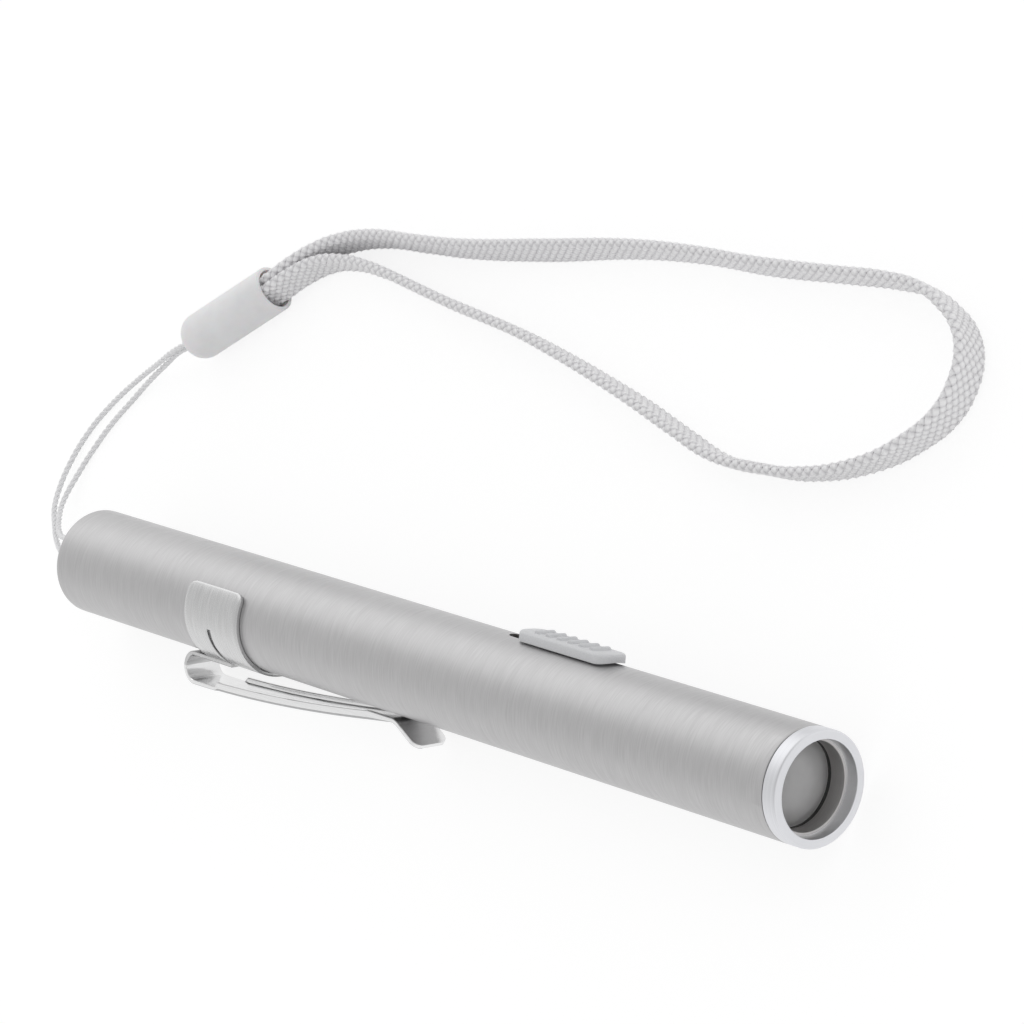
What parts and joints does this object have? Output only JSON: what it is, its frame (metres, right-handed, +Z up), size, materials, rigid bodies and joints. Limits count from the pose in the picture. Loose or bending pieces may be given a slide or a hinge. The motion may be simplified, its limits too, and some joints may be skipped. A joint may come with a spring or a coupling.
{
  "type": "penlight",
  "caption": "Slim brushed-steel penlight with a screwed lens ring, ribbed slide switch, spring pocket clip and a braided wrist lanyard.",
  "frame": {"origin": "Middle of the penlight's box without the lanyard, on the surface that it lies on", "axes": "+X along the tube towards the lens, +Z up from the surface, +Y to the side where the slide faces and the lanyard lies"},
  "size_m": [0.1539, 0.0669, 0.014],
  "materials": {
    "brushed_tube": "brushed round the tube",
    "bezel_metal": "fine turned satin",
    "lens_clear": "polished",
    "gasket_rubber": "matte",
    "mirror_cup": "vacuum metallised",
    "emitter_dome": "clear silicone over phosphor",
    "board_white": "white solder mask",
    "turned_aluminium": "as turned",
    "lead_insulation": "smooth",
    "board_green": "solder mask",
    "insulator_plastic": "moulded",
    "contact_brass": "plated",
    "cell_wrap": "plain wrapped can",
    "sleeve_film": "thin film",
    "spring_steel": "drawn wire",
    "slide_plastic": "moulded satin",
    "clip_steel": "polished spring steel",
    "string_cord": "twisted",
    "ferrule_plastic": "moulded",
    "strap_braid": "flat braid"
  },
  "bodies": {
    "penlight_body": {"barrel": "brushed_tube", "reflector": "mirror_cup", "led_emitter": "emitter_dome", "led_board": "board_white", "led_holder": "turned_aluminium", "led_leads": "lead_insulation", "driver_board": "board_green", "contact_holder": "insulator_plastic", "contact_ring": "contact_brass", "center_contact": "contact_brass", "front_cell": "cell_wrap", "rear_cell": "cell_wrap", "battery_sleeve": "sleeve_film", "tail_spring": "spring_steel", "tail_plug": "turned_aluminium", "clip_band": "clip_steel", "lanyard_string": "string_cord", "lanyard_ferrule": "ferrule_plastic", "wrist_strap": "strap_braid"},
    "switch_slide": {"slider_button": "slide_plastic", "contact_strip": "contact_brass"},
    "clip_spring_arm": {"clip_arm": "clip_steel"},
    "lens_unit": {"lens": "lens_clear", "lens_gasket": "gasket_rubber"},
    "bezel_ring": {"bezel": "bezel_metal"}
  },
  "joints": [
    {"name": "switch_travel", "type": "slide", "parent": "penlight_body", "child": "switch_slide", "axis": [-1, 0, 0], "range_m": [0, 0.0045]},
    {"name": "clip_flex", "type": "hinge", "parent": "penlight_body", "child": "clip_spring_arm", "pos_m": [-0.04435, -0.00664, 0.00311], "axis": [0, 0.3959, -0.9183], "range_deg": [0, 5], "stiffness_Nm_per_rad": 2.5},
    {"name": "bezel_advance", "type": "slide", "parent": "penlight_body", "child": "lens_unit", "axis": [1, 0, 0], "range_m": [0, 0.00525]},
    {"name": "bezel_turn", "type": "hinge", "parent": "lens_unit", "child": "bezel_ring", "pos_m": [0.0655, 0.00123, 0.0065], "axis": [1, 0, 0], "range_deg": [0, 2520]}
  ],
  "couplings": [
    {"joint": "bezel_turn", "follows": "bezel_advance", "rad_per_m": 8377.6}
  ]
}
